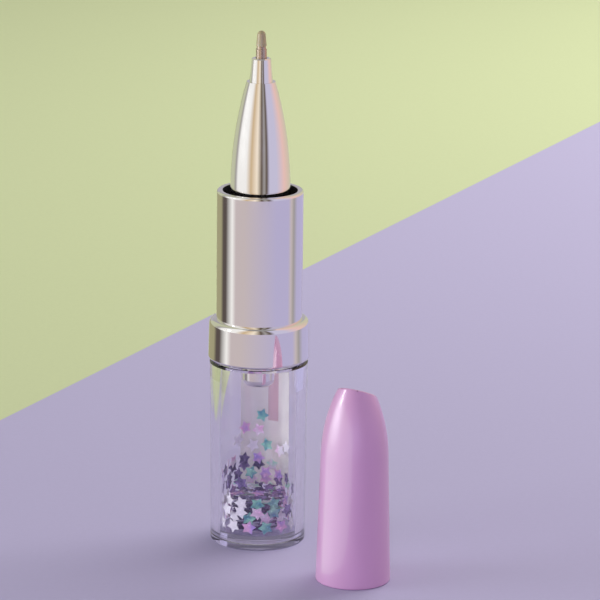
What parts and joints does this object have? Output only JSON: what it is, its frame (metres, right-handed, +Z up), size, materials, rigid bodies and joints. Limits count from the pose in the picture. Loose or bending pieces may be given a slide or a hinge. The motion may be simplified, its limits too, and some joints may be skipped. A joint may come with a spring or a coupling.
{
  "type": "gel pen",
  "caption": "Upright gel pen with a clear confetti-filled jar as its foot, bright collar, sleeve and screw-in bullet nose holding a gel refill, and a slant-cut bullet cap standing beside it.",
  "frame": {"origin": "centre of the flat foot of the pen's jar, on the surface it stands on", "axes": "+Z up along the pen towards the writing tip; +X to the viewer's right and -Y towards the viewer, where the cap stands"},
  "size_m": [0.0391, 0.0456, 0.1115],
  "materials": {
    "clear_styrene": "gloss",
    "plain_film": "satin",
    "film_violet": "gloss",
    "film_lilac": "gloss",
    "film_pearl": "gloss",
    "film_mint": "gloss",
    "film_teal": "gloss",
    "film_pink": "gloss",
    "bright_shell": "polished",
    "black_abs": "satin",
    "refill_pp": "satin",
    "gel_ink": "gloss",
    "follower_grease": "gloss",
    "white_acetal": "satin",
    "tip_steel": "satin",
    "ball_carbide": "polished",
    "melt_bead": "gloss",
    "lilac_plastic": "gloss",
    "soft_seal": "matte"
  },
  "bodies": {
    "pen": {"jar": "clear_styrene", "foot_plug": "clear_styrene", "back_film": "plain_film", "confetti_violet": "film_violet", "confetti_lilac": "film_lilac", "confetti_pearl": "film_pearl", "confetti_mint": "film_mint", "confetti_teal": "film_teal", "confetti_pink": "film_pink", "collar": "bright_shell", "sleeve": "bright_shell", "insert": "black_abs", "end_thimble": "bright_shell"},
    "refill": {"refill_tube": "refill_pp", "ink": "gel_ink", "follower": "follower_grease", "tip_holder": "white_acetal", "writing_tip": "tip_steel", "ball": "ball_carbide"},
    "nose": {"nose_cone": "bright_shell"},
    "bead": {"tip_bead": "melt_bead"},
    "cap": {"cap_shell": "lilac_plastic", "cap_seal": "soft_seal"}
  },
  "joints": [
    {"name": "refill_draw", "type": "slide", "parent": "pen", "child": "refill", "axis": [0, 0, 1], "range_m": [0, 0.0076]},
    {"name": "nose_turn", "type": "hinge", "parent": "refill", "child": "nose", "pos_m": [0, 0, 0.0774], "axis": [0, 0, 1], "range_deg": [0, 2160]},
    {"name": "bead_pull", "type": "slide", "parent": "refill", "child": "bead", "axis": [0, 0, 1], "range_m": [0, 0.006]},
    {"name": "cap_lift", "type": "slide", "parent": "pen", "child": "cap", "axis": [0, 0, 1], "range_m": [0, 0.045]}
  ],
  "couplings": [
    {"joint": "refill_draw", "follows": "nose_turn", "m_per_rad": 0.00019894}
  ]
}
